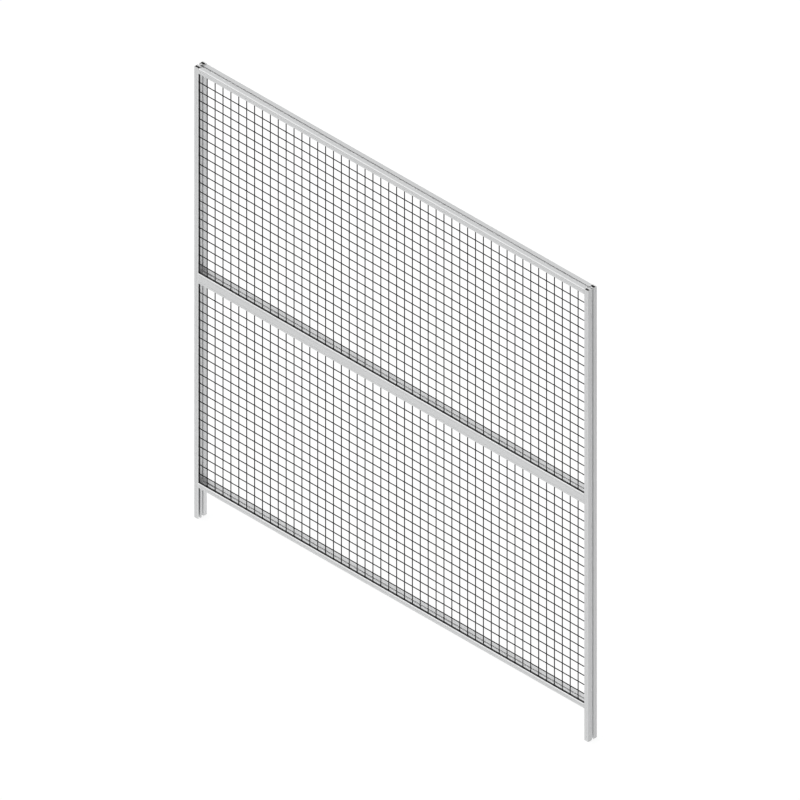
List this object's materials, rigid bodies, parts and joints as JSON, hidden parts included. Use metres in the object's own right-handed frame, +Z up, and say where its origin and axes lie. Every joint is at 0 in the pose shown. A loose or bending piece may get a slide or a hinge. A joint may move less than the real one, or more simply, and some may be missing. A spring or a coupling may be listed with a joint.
{
  "type": "machine guard fence panel",
  "caption": "Free-standing guard panel: slotted aluminium posts on open legs and rails around upper and lower fields of black welded wire mesh.",
  "frame": {"origin": "middle of the left post's section, on the cut face of its foot", "axes": "+X along the panel from the left post to the right one, -Y the front of the panel, +Z up"},
  "size_m": [1.998, 0.045, 1.986],
  "materials": {
    "anodised_aluminium": "satin natural anodised, fine lines along the extrusion",
    "rubber_edging": "matt black rubber",
    "coated_wire": "dark grey powder coated steel wire",
    "smoked_plate": "smoked see-through polycarbonate"
  },
  "bodies": {
    "root": {"left_post": "anodised_aluminium", "right_post": "anodised_aluminium", "top_rail": "anodised_aluminium", "middle_rail": "anodised_aluminium", "bottom_rail": "anodised_aluminium", "upper_left_edging": "rubber_edging", "upper_right_edging": "rubber_edging", "upper_top_edging": "rubber_edging", "upper_bottom_edging": "rubber_edging", "lower_left_edging": "rubber_edging", "lower_right_edging": "rubber_edging", "lower_top_edging": "rubber_edging", "lower_bottom_edging": "rubber_edging", "upper_left_mesh": "coated_wire", "upper_centre_mesh": "coated_wire", "upper_right_mesh": "coated_wire", "lower_left_mesh": "coated_wire", "lower_centre_mesh": "coated_wire", "lower_right_mesh": "coated_wire", "upper_corner_plate": "smoked_plate", "lower_corner_plate": "smoked_plate"}
  },
  "joints": []
}
